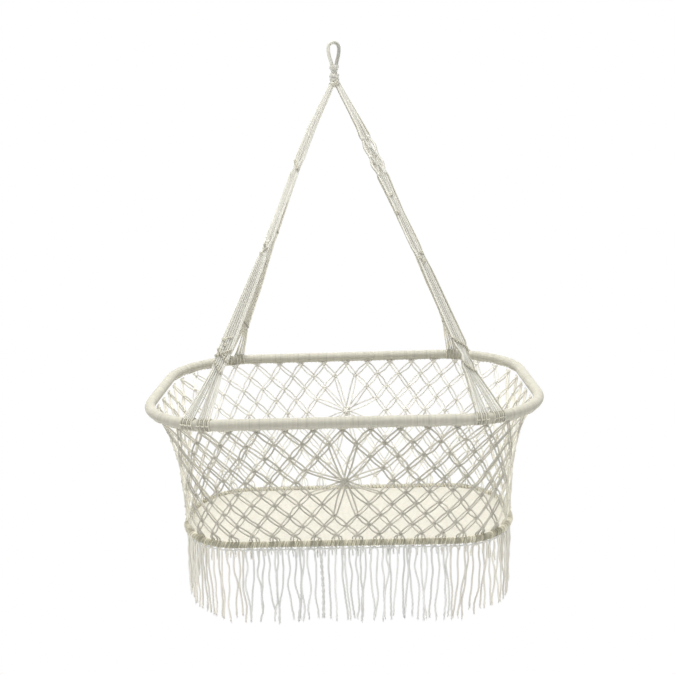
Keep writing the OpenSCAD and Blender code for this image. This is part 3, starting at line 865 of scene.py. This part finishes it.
def fringe_pair(strands, first, second, wide, random):
    """Two hanging cords and the loop that holds them on the header cord."""
    t = np.linspace(0, 1, 96) ** 1.35
    closeness = random.uniform(0.15, 1.0)
    twisted = random.uniform() < 0.04
    meeting = random.uniform() < 0.3
    shared = random.normal(0, 1, 3)
    mid_x, mid_y, out_x, out_y = (first + second) / 2
    out_x, out_y = unit([out_x, out_y])
    half = 0.0072 + 0.0014 * closeness if wide else 0.0030 + 0.0024 * closeness
    shift = random.normal(0, 0.0012)

    def hang(along, out, z):
        return points(mid_x - out_y * along + out_x * out,
                      mid_y + out_x * along + out_y * out, z)

    def wave(slowest, fastest):
        return np.sin(TAU * (random.uniform(slowest, fastest) * t + random.uniform(0, 1)))

    for way in (-1, 1):
        length = FRINGE_LENGTH + 0.004 - abs(random.normal(0, 0.006))
        length -= 0.012 if random.uniform() < 0.05 else 0
        length -= 0.016 * float(clip01((abs(mid_x) - LOWER_X + 0.10) / 0.06))  # shorter ends
        sway = random.uniform(0.0012, 0.0044)
        closing = 0.8 if meeting else 0.2 * random.uniform()
        apart = half * way * (1 - closing * clip01((t - 0.25) / 0.75) ** 1.5)
        # the pair leaves the header cord as one round arch
        drop = np.minimum(t * length / (half * 1.25), 1)
        apart = apart * np.sqrt(np.maximum(1 - (1 - drop) ** 2, 0))
        wobble = sway * (wave(0.6, 1.3) + 0.3 * wave(1.8, 3.0)) * smoothstep(0.06, 0.3, t)
        out = random.uniform(0.0005, 0.0018) * (wave(0.7, 1.4) + 0.5 * wave(2, 4))
        out = out * clip01(t / 0.15)
        if twisted:
            angle = TAU * 5.5 * t + (0 if way > 0 else math.pi)
            onset = clip01((t - 0.1) / 0.1)
            apart = (0.0018 * np.cos(angle) * onset
                     + apart * (1 - clip01((t - 0.05) / 0.12)))
            out = 0.0018 * np.sin(angle) * onset
            wobble = 0.0022 * shared[2] * np.sin(TAU * 1.2 * t)
            length = FRINGE_LENGTH - 0.006
        drift = 0.0045 * shared[0] * t ** 1.5
        path = hang(apart + wobble + drift + shift, out + 0.003 * shared[1] * t ** 1.5,
                    HEADER_Z + 0.0004 - (length + 0.0004) * t)
        # swells near the end, then narrows
        radius = 0.0024 * (1 + 0.2 * clip01((t - 0.93) / 0.07)
                           - 0.18 * clip01((t - 0.985) / 0.015))
        strands.tubes(path, radius, tint=random.uniform(0, 1), groove=PLY_GROOVE,
                      phase=random.uniform(0, 6))
        frayed_end(strands, path[-1], random)
    angle = np.linspace(-0.35, math.pi + 0.35, 13)
    loop = hang(0.0028 * np.cos(angle) + shift, 0.0008,
                HEADER_Z + 0.0002 + 0.0030 * np.sin(angle))
    strands.tubes(loop, 0.0019, tint=random.uniform(0, 1), groove=PLY_GROOVE)


def fringe():
    groups = {side: Strands() for side in FRINGE_SIDES}
    places = np.transpose(plan(*LOWER, (np.arange(FRINGE_CORDS) + 0.5) / FRINGE_CORDS))
    random = np.random.default_rng(41)
    for j in range(FRINGE_CORDS // 2):
        first, second = places[2 * j], places[2 * j + 1]
        sides = fringe_side(*first[:2]), fringe_side(*second[:2])
        side = "corners" if "corners" in sides else sides[0]
        fringe_pair(groups[side], first, second, wide=j % 2 == 0, random=random)
    for side, strands in groups.items():
        material = FRINGE if side in ("front", "back") else FRINGE_END
        body = "lower" if side == "corners" else f"fringe_{side}_body"
        strands.make("fringe_cords_" + side, [material], "fringe_cord", body,
                     replaces="fringe_" + side)


header_cord()
fringe()

# ---------------------------------------------------------------- straps
# where each cord crosses the hoop, from the middle of the strap
TURNS = np.array([-29, -24.5, -20, -15.5, -11, -6.5, 6.5, 11, 15.5, 20, 24.5, 29]) / 1000
STRAP_AT = 0.300  # middle of the strap, measured along the upper hoop from the front middle
CORDS = 12
STEPS = 640
ACROSS = (np.arange(CORDS) - 5.5) / 5.5  # each cord's place across the strap, -1 to 1

# Each strap is laid out at the front right and mirrored (x, y). t runs from 0 at the hoop to
# 1 at the crown. widths: (t, half width), the second being where the fan is gathered;
# rows of half hitches: (t at one edge, t at the other); knots: (t, place across);
# openwork: (start t, end t, meshes); bow: (t, shift in x).
STRAPS = [
    dict(name="front_right", mirror=(1, 1), seed=11,
         widths=[(0, 0.029), (0.13, 0.0105), (0.148, 0.0125), (0.178, 0.0048), (0.21, 0.0125),
                 (0.26, 0.0122), (0.42, 0.0098), (0.455, 0.0075), (0.475, 0.0075),
                 (0.5, 0.0092), (0.6, 0.0082), (0.66, 0.0098), (0.71, 0.0115), (0.75, 0.0145),
                 (0.81, 0.0135), (0.86, 0.0088), (0.93, 0.0062), (1, 0.0044)],
         rows=[(0.165, 0.125), (0.232, 0.196)],
         knots=[(0.463, -0.6), (0.475, 0.5), (0.452, 0.1), (0.60, -0.9), (0.655, -0.4)],
         openwork=[(0.72, 0.83, 4)],
         bow=[(0.1, 0), (0.2, 0.008), (0.4, 0.007), (0.6, 0.006), (0.8, 0.008),
              (0.87, 0.0075), (0.925, 0.004), (0.967, 0.0008), (1, -0.001)]),
    dict(name="front_left", mirror=(-1, 1), seed=12,
         widths=[(0, 0.029), (0.15, 0.0115), (0.19, 0.0145), (0.27, 0.0145), (0.36, 0.0125),
                 (0.46, 0.0100), (0.494, 0.0072), (0.53, 0.0105), (0.70, 0.0088),
                 (0.722, 0.0098), (0.748, 0.0056), (0.775, 0.0098), (0.86, 0.0080),
                 (0.93, 0.0058), (1, 0.0044)],
         rows=[(0.148, 0.172), (0.182, 0.206), (0.212, 0.188), (0.742, 0.765)],
         knots=[(0.20, -0.6), (0.222, 0.1), (0.235, 0.7), (0.245, -0.3), (0.487, 0.6),
                (0.5, -0.5), (0.512, 0.3)],
         openwork=[(0.486, 0.524, 1)],
         bow=[(0.1, 0), (0.3, 0), (0.55, 0.002), (0.8, 0.005), (0.87, 0.0055),
              (0.925, 0.0035), (0.967, 0.0008), (1, -0.001)]),
    dict(name="back_right", mirror=(1, -1), seed=13,
         widths=[(0, 0.029), (0.14, 0.009), (0.19, 0.012), (0.3, 0.012), (0.46, 0.008),
                 (0.5, 0.009), (0.7, 0.0078), (0.74, 0.0095), (0.8, 0.007), (0.93, 0.0056),
                 (1, 0.0044)],
         rows=[(0.15, 0.175), (0.49, 0.475)],
         knots=[(0.46, 0.5), (0.62, -0.5), (0.735, 0.4), (0.75, -0.6)],
         openwork=[],
         bow=[(0.1, 0), (0.2, 0.012), (0.45, 0.014), (0.65, 0.010), (0.8, 0.006),
              (0.87, 0.0055), (0.925, 0.0025), (0.967, 0.0), (1, -0.001)]),
    dict(name="back_left", mirror=(-1, -1), seed=14,
         widths=[(0, 0.029), (0.14, 0.009), (0.19, 0.012), (0.3, 0.012), (0.48, 0.0078),
                 (0.52, 0.009), (0.74, 0.0068), (0.78, 0.0085), (0.93, 0.0058), (1, 0.0044)],
         rows=[(0.15, 0.175), (0.52, 0.535)],
         knots=[(0.48, 0.6), (0.56, -0.5), (0.76, 0.3)],
         openwork=[],
         bow=[(0.1, 0), (0.2, 0.008), (0.4, 0.011), (0.65, 0.009), (0.8, 0.006),
              (0.87, 0.0055), (0.925, 0.0025), (0.967, 0.0), (1, -0.001)]),
]


def at_keys(table, t):
    return np.interp(t, *np.transpose(table))


def strap_frame():
    """Foot and length of the strap's axis, and unit vectors along, across and out of it."""
    foot = beside(UPPER, STRAP_AT / UPPER_LENGTH, UPPER_Z)
    tangent = beside(UPPER, STRAP_AT / UPPER_LENGTH, UPPER_Z, along=1.0) - foot
    rise = np.array([0.0085, -0.006, STRAPS_PART_Z + 0.002]) - foot
    along = unit(rise)
    out = unit(np.cross(tangent, along))
    return foot, np.linalg.norm(rise), along, unit(np.cross(along, out)), out


def openwork_offset(i, t, width, start, end, meshes):
    """Place across the strap of cord i where threes of cords swap between meshes."""
    swap = 0.5 - 0.5 * np.cos(math.pi * (t - start) / (end - start) * meshes)
    group = i // 3
    reach = 0.26 * width - 0.0016
    even = (1, -1, 1, -1)[group] * reach
    odd = (-0.55, 1, -1, 0.55)[group] * reach
    centre = (-0.78, -0.26, 0.26, 0.78)[group] * width
    return centre + lerp(even, odd, swap) + (i % 3 - 1) * 0.0013


def strap_paths(widths, rows, openwork, bow, random):
    """Centrelines of the twelve cords, fanned out to the hoop at the foot."""
    foot, length, along, across, out = strap_frame()
    t = np.linspace(0, 1, STEPS)
    width = at_keys(widths, t)
    bend = np.zeros((STEPS, 3))
    for waves in (1.0, 2.0, 3.0):
        lean = across * random.normal(0, 0.0011) + out * random.normal(0, 0.0016)
        bend += np.sin(math.pi * waves * t)[:, None] * lean
    roll = at_keys([(0, 0), (0.25, 0), (0.45, random.normal(0, 0.2)),
                    (0.6, random.normal(0, 0.35)), (0.8, random.normal(0, 0.3)), (1, 0)], t)
    cos_roll, sin_roll = np.cos(roll)[:, None], np.sin(roll)[:, None]
    rolled_across = across * cos_roll + out * sin_roll
    rolled_out = out * cos_roll - across * sin_roll
    axis = foot + np.outer(t * length, along) + bend + np.outer(at_keys(bow, t), [1.0, 0, 0])
    starts = beside(UPPER, (STRAP_AT + TURNS) / UPPER_LENGTH, UPPER_Z + UPPER_R * 0.98,
                    out=0.004)
    crowding = clip01(1.25 - width / 0.0175)
    gather_t = widths[1][0]
    gather_step = int(np.searchsorted(t, gather_t))
    fan = clip01(t / gather_t)[:, None]
    paths = []
    for i in range(CORDS):
        offset = ACROSS[i] * width
        lift = (i % 2 - 0.5) * 0.0026 * crowding + random.normal(0, 0.0003)
        for start, end, meshes in openwork:
            share = (smoothstep(start - 0.012, start + 0.004, t)
                     * (1 - smoothstep(end - 0.004, end + 0.012, t)))
            open_offset = openwork_offset(i, t, width, start, end, meshes)
            offset = lerp(offset, open_offset, share)
            lift = lerp(lift, (i % 3 == 1) * 0.0016, share)
        # the cords sink a little just under every row of hitches
        for edge_a, edge_b in rows:
            row_t = edge_a + (edge_b - edge_a) * i / 11
            lift = lift - 0.0012 * np.exp(-((t - row_t + 0.006) / 0.005) ** 2)
        wander = np.zeros(STEPS)
        for _ in range(3):
            pace = random.uniform(1.5, 5)
            wander += (random.normal(0, 0.0004)
                       * np.sin(TAU * (pace * t + random.uniform(0, 1))))
        wander *= smoothstep(0.2, 0.3, t) * (1 - smoothstep(0.9, 1.0, t))
        path = axis + (offset + wander)[:, None] * rolled_across + lift[:, None] * rolled_out
        line = lerp(starts[i], path[gather_step], fan)
        paths.append(np.where((t < gather_t)[:, None], line, path))
    stray = random.normal(0, 0.0011, (CORDS, 1, 3))
    return np.array(paths) + stray * np.sin(math.pi * fan)


def strap_cords(name, mirror, paths, rows, knots, openwork, random):
    _, _, along, across, out = strap_frame()
    strands = Strands()

    def at(i, t):
        return paths[i, int(t * (STEPS - 1))]

    def knot(place, width, up, half, height, turns, radius, tint, mat):
        wound = coil(place * mirror, width * mirror, up * mirror, half, height, turns)
        strands.tubes(wound, radius, sides=6, tint=tint, mat=mat)

    # painted light: the outer cords are tinted lighter; the random part is tone that differs at
    # random
    tint = clip01(np.abs(ACROSS) ** 3 * 1.1 + random.uniform(0, 0.45, CORDS))
    phase = random.uniform(0, 6, CORDS)
    # painted shadow: both outer cords of the front right strap are darkened and take the darker
    # cord
    painted_shadow_edge = (np.abs(ACROSS) > 0.99) & (name == "front_right")
    for mat, shade in ((0, 1), (1, 0.35)):
        chosen = painted_shadow_edge == bool(mat)
        if chosen.any():
            strands.tubes((paths * mirror)[chosen], 0.00175, tint=tint[chosen] * shade,
                          groove=0.06, phase=phase[chosen], mat=mat)
    # rows of half hitches: a holding cord across with a coil on it at each cord
    for edge_a, edge_b in rows:
        centres = np.array([at(i, edge_a + (edge_b - edge_a) * i / 11) for i in range(CORDS)])
        hold = centres + out * 0.0020
        start = hold[0] + unit(hold[0] - hold[1]) * 0.0035
        end = hold[-1] + unit(hold[-1] - hold[-2]) * 0.0035
        strands.tubes(np.concatenate([[start], hold, [end]]) * mirror, 0.00155, tint=0.9,
                      groove=PLY_GROOVE)
        # painted shade: the coils alternate dark and light and take the darker cord
        knot(centres + out * 0.0014, along, unit(hold[-1] - hold[0]), (0.0029, 0.0031),
             height=0.0024, turns=1.7, radius=0.00125, tint=np.tile([0.0, 0.75], 6), mat=1)
    # knots where the openwork's cord groups meet
    for start, end, meshes in openwork:
        for k in range(meshes + 1):
            t = start + (end - start) * k / meshes
            for a, b in (((2, 3), (8, 9)) if k % 2 == 0 else ((5, 6),)):
                up = unit(along + random.normal(0, 0.08, 3))
                knot((at(a, t) + at(b, t)) / 2, across, up, (0.0040, 0.0029), height=0.0045,
                     turns=2.0, radius=0.0013, tint=random.uniform(0.0, 0.6), mat=0)
    # the single knots take the cord darkened as painted shade
    for t, place in knots:
        i = round(5.5 + place * 4.5)
        centre = (at(i, t) + at(i + 1, t)) / 2 + out * 0.0008
        up = unit(along + random.normal(0, 0.15, 3))
        width = unit(across + random.normal(0, 0.25, 3))
        knot(centre, width, up, (0.0040, 0.0031), height=0.0062, turns=2.5, radius=0.00145,
             tint=random.uniform(0.2, 1.0), mat=1)
    made = strands.make("strap_cords_" + name, [STRAP if mirror[1] > 0 else STRAP_BACK, TURN_PAINTED_SHADE],
                        "cord_cream", "upper", replaces="strap_" + name)
    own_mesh(made)


def strap_turns(name, mirror, random):
    """Turns round the hoop where the fan is tied on, closed by bars on the outside."""
    strands = Strands()
    turns = hoop_turns(UPPER, UPPER_Z, (STRAP_AT + TURNS) / UPPER_LENGTH,
                       radius=UPPER_R + 0.0013, skew=0.0008, segments=26)
    # painted shade: every other turn is tinted dark, for the shade in the gaps between turns
    tint = clip01(np.tile([0.95, 0.1], 6) + random.normal(0, 0.12, CORDS))
    strands.tubes(turns * mirror, 0.0016, closed=True, tint=tint, groove=PLY_GROOVE)
    u = (STRAP_AT + (TURNS[0::2] + TURNS[1::2]) / 2) / UPPER_LENGTH
    t = np.linspace(-1, 1, 9)
    angle, reach = 0.15, UPPER_R + 0.0038
    bars = beside(UPPER, u[:, None],
                  UPPER_Z + reach * math.sin(angle) - 0.0016 * (1 - t ** 2),
                  out=reach * math.cos(angle), along=t * 0.0036)
    strands.tubes(bars * mirror, 0.00135, tint=random.uniform(0.2, 1, 6))
    strands.make("strap_turns_" + name, [TURN_PAINTED_SHADE], "cord_cream", "upper",
                 replaces="strap_hitches_" + name)


def strap(name, mirror, seed, widths, rows, knots, openwork, bow):
    random = np.random.default_rng(seed)
    mirror = np.array([*mirror, 1.0])
    paths = strap_paths(widths, rows, openwork, bow, random)
    strap_cords(name, mirror, paths, rows, knots, openwork, random)
    strap_turns(name, mirror, random)


for design in STRAPS:
    strap(**design)


# ---------------------------------------------------------------- eye, neck and crown
# lower leg of the eye, from the arc down: half width, z
EYE_LEG = [(0.0116, -0.006), (0.0108, -0.012), (0.0094, -0.018), (0.0076, -0.024),
           (0.006, -0.0295), (0.0049, -0.035), (0.0045, -0.041), (0.0044, -0.0465)]


def winding(strands, centre, slope, half, height, turns, radius, tint, segments=40, mat=0):
    """Cord wound round a nearly upright core; slope is its rise towards +x."""
    path = coil(centre, (1.0, 0, slope), (-slope, 0, 1.0), half, height, turns, segments)
    strands.tubes(path, radius, tint=tint, groove=PLY_GROOVE, mat=mat)


def bundle(strands, top, bottom, half_x, half_y, seed, count=12):
    """Upright cords round a core; half_x and half_y are given at top and bottom."""
    random = np.random.default_rng(seed)
    t = np.linspace(0, 1, 24)
    width = half_x[0] + (half_x[1] - half_x[0]) * t
    depth = half_y[0] + (half_y[1] - half_y[0]) * t
    z = top + (bottom - top) * t
    for i in range(count):
        angle = i * TAU / count + 0.4 * t
        path = points(width * np.cos(angle), depth * np.sin(angle), z)
        strands.tubes(path, 0.0015, tint=random.uniform(0, 1), groove=PLY_GROOVE,
                      phase=random.uniform(0, 6))
    # a fill so that no light shows between the cords
    strands.tubes(points(0, 0, z), width, sides=16, tint=0.3,
                  flatten=(1.0, half_y[0] / half_x[0]), ref=[1.0, 0, 0])


def eye_rope():
    low, high = box("hanging_loop")
    arc_radius = high[2] - 0.0035
    half_depth = (high[1] - low[1]) / 2
    angle = np.linspace(-math.pi * 0.02, math.pi * 1.02, 60)
    arc = points(arc_radius * np.cos(angle), 0, arc_radius * np.sin(angle))
    leg = np.array([(x, 0, z) for x, z in EYE_LEG])
    outline = np.concatenate([leg[::-1], arc, leg * [-1, 1, 1]])
    steps = np.linalg.norm(np.diff(outline, axis=0), axis=1)
    distance = np.r_[0, np.cumsum(steps)]
    s = np.linspace(0, distance[-1], 420)
    path = np.stack([np.interp(s, distance, outline[:, i]) for i in range(3)], -1)
    radius = 0.0040 - 0.00032 * (0.5 + 0.5 * np.cos(TAU * s / 0.0023)) ** 2
    strands = Strands()
    strands.tubes(path, radius, sides=16, flatten=(1.0, half_depth / 0.0038),
                  ref=points(path[:, 0], 0, path[:, 2] + 0.02))
    # the right leg is painted darker, as painted shade
    strands.tints[-1] = clip01(0.5 - strands.verts[-1][:, 0] / 0.016)
    strands.make("eye_rope", [EYE], "cord_cream", "eye", replaces="hanging_loop")


def eye_binding():
    low, high = box("eye_whipping")
    strands = Strands()
    winding(strands, (0, 0, low[2] + 0.0032), slope=0.06, half=(0.0096, 0.0064),
            height=0.0040, turns=2.2, radius=0.00125, tint=0.7)
    winding(strands, (0, 0, high[2] - 0.0030), slope=0.12, half=(0.0098, 0.0064),
            height=0.0015, turns=1.2, radius=0.00105, tint=0.9)
    strands.make("eye_binding", [STRAP], "cord_pale", "eye", replaces="eye_whipping")


def neck():
    """Two bundles, above and below the swing joint."""
    root_z = box("eye_whipping")[0][2]
    knot_top = box("throat_knot")[1][2]
    strands = Strands()
    bundle(strands, root_z + 0.003, BALL_Z, (0.0066, 0.0052), (0.0046, 0.0046), seed=5)
    made = strands.make("neck_upper", [STRAP], "cord_cream")
    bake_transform(made)
    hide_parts("neck_core")
    strands = Strands()
    bundle(strands, BALL_Z, knot_top - 0.004, (0.0052, 0.0062), (0.0046, 0.0056), seed=6)
    made = strands.make("neck_lower", [STRAP], "cord_cream")
    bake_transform(made)


def throat_knot():
    low, high = box("throat_knot")
    half = (high[0] - low[0]) / 2
    middle = (low[2] + high[2]) / 2
    strands = Strands()
    winding(strands, (0, 0, middle), slope=0.12, half=(half * 0.8, half * 0.66),
            height=0.0042, turns=2.6, radius=0.0017, tint=0.35)
    winding(strands, (0.0005, 0, middle), slope=-0.5, half=(half * 0.74, half * 0.76),
            height=0.0022, turns=1.6, radius=0.0015, tint=0.8)
    bundle(strands, high[2] - 0.0015, low[2] + 0.0006, (0.0062, 0.0072), (0.0056, 0.006),
           seed=7)
    strands.make("throat_knot_cords", [STRAP], "cord_cream", "neck_knot",
                 replaces="throat_knot")


def throat_binding():
    low, high = box("throat_whipping")
    half = (high[0] - low[0]) / 2
    strands = Strands()
    winding(strands, (0, 0, (low[2] + high[2]) / 2), slope=0,
            half=(half - 0.0018, half - 0.0035), height=high[2] - low[2] - 0.003, turns=2.6,
            radius=0.00155, tint=0.6)
    bundle(strands, high[2] - 0.0004, low[2], (0.0076, 0.0078), (0.0062, 0.0064), seed=8)
    strands.make("throat_binding", [STRAP], "cord_pale", "crown", replaces="throat_whipping")


def crown_knot():
    low, high = box("crown_knot")
    half = (high[0] - low[0]) / 2
    middle = (low[2] + high[2]) / 2
    strands = Strands()
    for slope, scale, tint in ((0.3, 0.92, 0.2), (-0.35, 0.84, 0.75), (0.05, 0.98, 0.5)):
        winding(strands, (0, 0, middle + 0.0004), slope,
                half=((half - 0.003) * scale, (half - 0.005) * scale), height=0.0036,
                turns=1.5, radius=0.0018, tint=tint, segments=44)
    bundle(strands, high[2], low[2] - 0.002, (0.0078, 0.0105), (0.0064, 0.0085), seed=9,
           count=16)
    # a small coil low on the front, in the cord darkened as painted shade
    winding(strands, (0.0022, -(half - 0.0042), low[2] + 0.0052), slope=0.22,
            half=(0.0060, 0.0028), height=0.0062, turns=3.2, radius=0.0014, tint=1.0,
            segments=26, mat=1)
    strands.make("crown_knot_cords", [STRAP, TURN_PAINTED_SHADE], "cord_cream", "crown",
                 replaces="crown_knot")


eye_rope()
eye_binding()
neck()
throat_knot()
throat_binding()
crown_knot()

# the rods inside the hoops keep their CAD shape
for rod in ("upper_hoop_rod", "lower_hoop_rod"):
    materials = frame["nodes"][rod].data.materials
    materials.clear()
    materials.append(CANE)


# ---------------------------------------------------------------- stage
def paper_material():
    """White paper: plain white to the camera, and clear when seen from behind."""
    material, nodes, surface, output = new_material("stage_paper")
    nodes.feed(surface, {"Base Color": (0.9, 0.9, 0.9), "Roughness": 0.95})
    camera_ray = nodes.add("LightPath").outputs["Is Camera Ray"]
    white = nodes.add("Emission", {0: (1, 1, 1), 1: 1.0}).outputs[0]
    front = nodes.add("MixShader", {0: camera_ray, 1: surface.outputs[0], 2: white})
    behind = nodes.add("NewGeometry").outputs["Backfacing"]
    clear = nodes.add("BsdfTransparent").outputs[0]
    hidden = nodes.math("MULTIPLY", behind, camera_ray)
    shown = nodes.add("MixShader", {0: hidden, 1: front.outputs[0], 2: clear})
    nodes.feed(output, {0: shown.outputs[0]})
    return material


def stage_floor():
    """A paper sweep: flat floor, curved up into a wall behind."""
    floor_z = CAD_BOX[0][2] - 0.45
    half_width, wall_y, wall_top, bend = 9.0, 4.0, 7.0, 1.5
    profile = [(-half_width, floor_z)]
    for angle in np.linspace(0, math.pi / 2, 24):
        profile.append((wall_y - bend + bend * math.sin(angle),
                        floor_z + bend - bend * math.cos(angle)))
    profile.append((wall_y, wall_top))
    verts = [(side * half_width, y, z) for y, z in profile for side in (-1, 1)]
    faces = [(2 * i, 2 * i + 1, 2 * i + 3, 2 * i + 2) for i in range(len(profile) - 1)]
    mesh = bpy.data.meshes.new("stage_floor")
    mesh.from_pydata(verts, [], faces)
    mesh.polygons.foreach_set("use_smooth", [True] * len(mesh.polygons))
    mesh.materials.append(paper_material())
    made = bpy.data.objects.new("stage_floor", mesh)
    bpy.context.scene.collection.objects.link(made)


def studio_world():
    """Brighter overhead than below; the camera itself sees plain white."""
    world = bpy.data.worlds.new("studio")
    bpy.context.scene.world = world
    world.use_nodes = True
    nodes = Nodes(world.node_tree)
    camera_ray = nodes.add("LightPath").outputs["Is Camera Ray"]
    height = nodes.split(nodes.add("TexCoord").outputs["Generated"])[2]
    sky = nodes.remap(height, (-0.35, 0.75), (0.52, 0.86))
    strength = nodes.add("Mix", {0: camera_ray, 2: sky, 3: 1.0}, data_type="FLOAT")
    nodes.feed(world.node_tree.nodes["Background"], {0: (1, 1, 1), 1: strength.outputs[0]})


def area_light(name, location, size, power):
    """A square light aimed at the middle of the upper hoop."""
    light = bpy.data.lights.new(name, "AREA")
    light.size = size
    light.energy = power
    made = bpy.data.objects.new(name, light)
    made.location = location
    aim = Vector((0, 0, UPPER_Z)) - Vector(location)
    made.rotation_euler = aim.to_track_quat("-Z", "Y").to_euler()
    bpy.context.scene.collection.objects.link(made)


def add_camera():
    scene = bpy.context.scene
    camera = bpy.data.cameras.new("cam")
    camera.sensor_width = 36
    camera.lens = 46.56
    camera.clip_start = 0.05
    yaw, pitch, roll = -0.025, 0.2163, -0.0323  # radians; pitch is downwards
    position = (0.0381, -1.9825, UPPER_Z + 0.5501)
    forward = np.array([math.sin(yaw) * math.cos(pitch), math.cos(yaw) * math.cos(pitch),
                        -math.sin(pitch)])
    level_right = np.array([math.cos(yaw), -math.sin(yaw), 0])
    level_up = np.cross(level_right, forward)
    right = math.cos(roll) * level_right + math.sin(roll) * level_up
    up = -math.sin(roll) * level_right + math.cos(roll) * level_up
    made = bpy.data.objects.new("cam", camera)
    rows = [(right[i], up[i], -forward[i], position[i]) for i in range(3)]
    made.matrix_world = Matrix(rows + [(0, 0, 0, 1)])
    scene.collection.objects.link(made)
    scene.camera = made


stage_floor()
studio_world()
area_light("key", location=(-0.52, 0.52, 3.4), size=2.3, power=115)
area_light("fill", location=(-2.0, -2.0, 0.9), size=2.0, power=8)
area_light("top", location=(0.3, 0.42, 3.3), size=2.8, power=97)
bpy.context.scene.view_settings.view_transform = "Standard"
add_camera()
